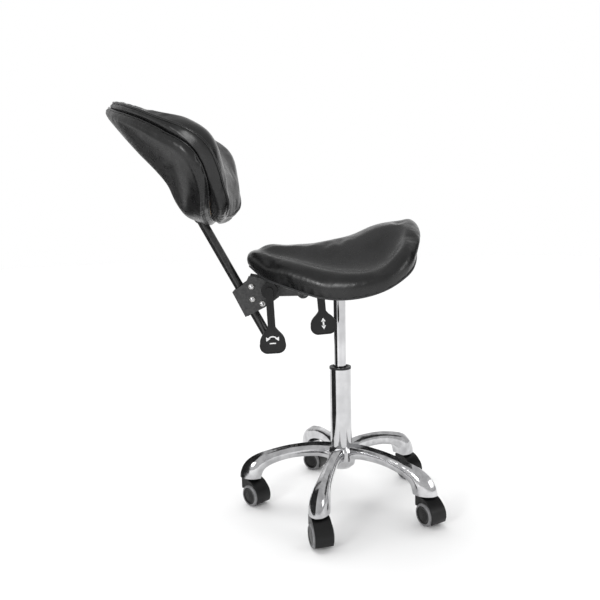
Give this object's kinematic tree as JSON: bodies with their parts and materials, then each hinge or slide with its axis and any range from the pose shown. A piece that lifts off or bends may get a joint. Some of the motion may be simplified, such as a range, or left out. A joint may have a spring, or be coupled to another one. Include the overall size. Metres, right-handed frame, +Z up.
{
  "type": "rolling stylist stool",
  "caption": "Saddle stool on a gas column with a five-arm caster base and a curved back pad on a sliding, tilting post.",
  "frame": {"origin": "on the floor, on the axis of the column", "axes": "+Z up, +X from the back pad towards the front of the seat, levers on the -Y side"},
  "size_m": [0.7404, 0.4817, 0.9445],
  "materials": {
    "polished_aluminium": "mirror polished casting",
    "chrome_column": "bright chrome plate",
    "zinc_steel": "bright zinc plate",
    "bright_steel": "ground steel",
    "black_painted_steel": "satin black powder coat",
    "black_gloss_tube": "gloss black enamel",
    "black_collar": "moulded black plastic",
    "black_shell": "textured black plastic",
    "lever_plastic": "semi gloss black plastic",
    "caster_plastic": "moulded black nylon",
    "wheel_plastic": "moulded black nylon",
    "grey_tread": "soft grey polyurethane tread",
    "plywood": "bare moulded plywood",
    "seat_leather": "semi gloss black upholstery leather",
    "pad_leather": "semi gloss black upholstery leather"
  },
  "bodies": {
    "base": {"star_base": "polished_aluminium", "caster_stems": "zinc_steel", "column_sleeve": "chrome_column", "guide_collar": "black_collar", "thrust_bearing": "zinc_steel"},
    "piston": {"piston_rod": "bright_steel", "retaining_clip": "zinc_steel"},
    "seat_lift": {"gas_cylinder": "chrome_column", "mechanism_housing": "black_painted_steel", "cross_tube": "black_painted_steel", "pivot_spacer": "zinc_steel", "seat_pan": "black_shell", "seat_cushion": "seat_leather", "seat_bolts": "zinc_steel"},
    "valve": {"valve_button": "bright_steel"},
    "height_lever": {"height_lever_shaft": "bright_steel", "height_lever_paddle": "lever_plastic"},
    "back_bracket": {"tilt_bracket": "black_painted_steel", "bracket_bolts": "zinc_steel", "friction_discs": "bright_steel", "pivot_bolt": "zinc_steel", "post_guide": "black_shell"},
    "tilt_handle": {"tilt_lever": "lever_plastic"},
    "back_rest": {"back_post": "black_gloss_tube", "post_end_cap": "black_shell", "pad_mount": "black_painted_steel", "back_board": "plywood", "back_cover": "pad_leather", "front_cushion": "pad_leather", "pad_screws": "black_shell"},
    "caster_1": {"caster_1_hood": "caster_plastic", "caster_1_axle": "bright_steel"},
    "caster_1_left": {"caster_1_left_wheel": "wheel_plastic", "caster_1_left_tread": "grey_tread"},
    "caster_1_right": {"caster_1_right_wheel": "wheel_plastic", "caster_1_right_tread": "grey_tread"},
    "caster_2": {"caster_2_hood": "caster_plastic", "caster_2_axle": "bright_steel"},
    "caster_2_left": {"caster_2_left_wheel": "wheel_plastic", "caster_2_left_tread": "grey_tread"},
    "caster_2_right": {"caster_2_right_wheel": "wheel_plastic", "caster_2_right_tread": "grey_tread"},
    "caster_3": {"caster_3_hood": "caster_plastic", "caster_3_axle": "bright_steel"},
    "caster_3_left": {"caster_3_left_wheel": "wheel_plastic", "caster_3_left_tread": "grey_tread"},
    "caster_3_right": {"caster_3_right_wheel": "wheel_plastic", "caster_3_right_tread": "grey_tread"},
    "caster_4": {"caster_4_hood": "caster_plastic", "caster_4_axle": "bright_steel"},
    "caster_4_left": {"caster_4_left_wheel": "wheel_plastic", "caster_4_left_tread": "grey_tread"},
    "caster_4_right": {"caster_4_right_wheel": "wheel_plastic", "caster_4_right_tread": "grey_tread"},
    "caster_5": {"caster_5_hood": "caster_plastic", "caster_5_axle": "bright_steel"},
    "caster_5_left": {"caster_5_left_wheel": "wheel_plastic", "caster_5_left_tread": "grey_tread"},
    "caster_5_right": {"caster_5_right_wheel": "wheel_plastic", "caster_5_right_tread": "grey_tread"}
  },
  "joints": [
    {"name": "seat_swivel", "type": "hinge", "parent": "base", "child": "piston", "pos_m": [0, 0, 0.3], "axis": [0, 0, 1], "continuous": true},
    {"name": "seat_height", "type": "slide", "parent": "piston", "child": "seat_lift", "axis": [0, 0, 1], "range_m": [-0.13, 0]},
    {"name": "height_lever_turn", "type": "hinge", "parent": "seat_lift", "child": "height_lever", "pos_m": [-0.0475, -0.05, 0.528], "axis": [0, 1, 0], "range_deg": [0, 5], "stiffness_Nm_per_rad": 1.5},
    {"name": "valve_press", "type": "slide", "parent": "seat_lift", "child": "valve", "axis": [0, 0, 1], "range_m": [-0.0044, 0]},
    {"name": "back_tilt", "type": "hinge", "parent": "seat_lift", "child": "back_bracket", "pos_m": [-0.158, 0, 0.511], "axis": [0, 1, 0], "range_deg": [-8, 10]},
    {"name": "tilt_handle_turn", "type": "hinge", "parent": "back_bracket", "child": "tilt_handle", "pos_m": [-0.158, 0, 0.511], "axis": [0, 1, 0], "range_deg": [-20, 25]},
    {"name": "back_height", "type": "slide", "parent": "back_bracket", "child": "back_rest", "axis": [-0.4695, 0, 0.8829], "range_m": [-0.06, 0.04]},
    {"name": "caster_1_swivel", "type": "hinge", "parent": "base", "child": "caster_1", "pos_m": [-0.06142, -0.20604, 0.05], "axis": [0, 0, 1], "continuous": true},
    {"name": "caster_1_left_roll", "type": "hinge", "parent": "caster_1", "child": "caster_1_left", "pos_m": [-0.05782, -0.2206, 0.025], "axis": [0.9707, 0.2402, 0], "continuous": true},
    {"name": "caster_1_right_roll", "type": "hinge", "parent": "caster_1", "child": "caster_1_right", "pos_m": [-0.05782, -0.2206, 0.025], "axis": [0.9707, 0.2402, 0], "continuous": true},
    {"name": "caster_2_swivel", "type": "hinge", "parent": "base", "child": "caster_2", "pos_m": [0.17697, -0.12209, 0.05], "axis": [0, 0, 1], "continuous": true},
    {"name": "caster_2_left_roll", "type": "hinge", "parent": "caster_2", "child": "caster_2_left", "pos_m": [0.18447, -0.13508, 0.025], "axis": [0.866, 0.5, 0], "continuous": true},
    {"name": "caster_2_right_roll", "type": "hinge", "parent": "caster_2", "child": "caster_2_right", "pos_m": [0.18447, -0.13508, 0.025], "axis": [0.866, 0.5, 0], "continuous": true},
    {"name": "caster_3_swivel", "type": "hinge", "parent": "base", "child": "caster_3", "pos_m": [0.1708, 0.13059, 0.05], "axis": [0, 0, 1], "continuous": true},
    {"name": "caster_3_left_roll", "type": "hinge", "parent": "caster_3", "child": "caster_3_left", "pos_m": [0.1798, 0.11859, 0.025], "axis": [0.7997, 0.6004, 0], "continuous": true},
    {"name": "caster_3_right_roll", "type": "hinge", "parent": "caster_3", "child": "caster_3_right", "pos_m": [0.1798, 0.11859, 0.025], "axis": [0.7997, 0.6004, 0], "continuous": true},
    {"name": "caster_4_swivel", "type": "hinge", "parent": "base", "child": "caster_4", "pos_m": [-0.07142, 0.20279, 0.05], "axis": [0, 0, 1], "continuous": true},
    {"name": "caster_4_left_roll", "type": "hinge", "parent": "caster_4", "child": "caster_4_left", "pos_m": [-0.05891, 0.19451, 0.025], "axis": [0.5519, 0.8339, 0], "continuous": true},
    {"name": "caster_4_right_roll", "type": "hinge", "parent": "caster_4", "child": "caster_4_right", "pos_m": [-0.05891, 0.19451, 0.025], "axis": [0.5519, 0.8339, 0], "continuous": true},
    {"name": "caster_5_swivel", "type": "hinge", "parent": "base", "child": "caster_5", "pos_m": [-0.21494, -0.00525, 0.05], "axis": [0, 0, 1], "continuous": true},
    {"name": "caster_5_left_roll", "type": "hinge", "parent": "caster_5", "child": "caster_5_left", "pos_m": [-0.20433, -0.01586, 0.025], "axis": [0.7071, 0.7071, 0], "continuous": true},
    {"name": "caster_5_right_roll", "type": "hinge", "parent": "caster_5", "child": "caster_5_right", "pos_m": [-0.20433, -0.01586, 0.025], "axis": [0.7071, 0.7071, 0], "continuous": true}
  ],
  "couplings": [
    {"joint": "valve_press", "follows": "height_lever_turn", "m_per_rad": -0.0475}
  ]
}
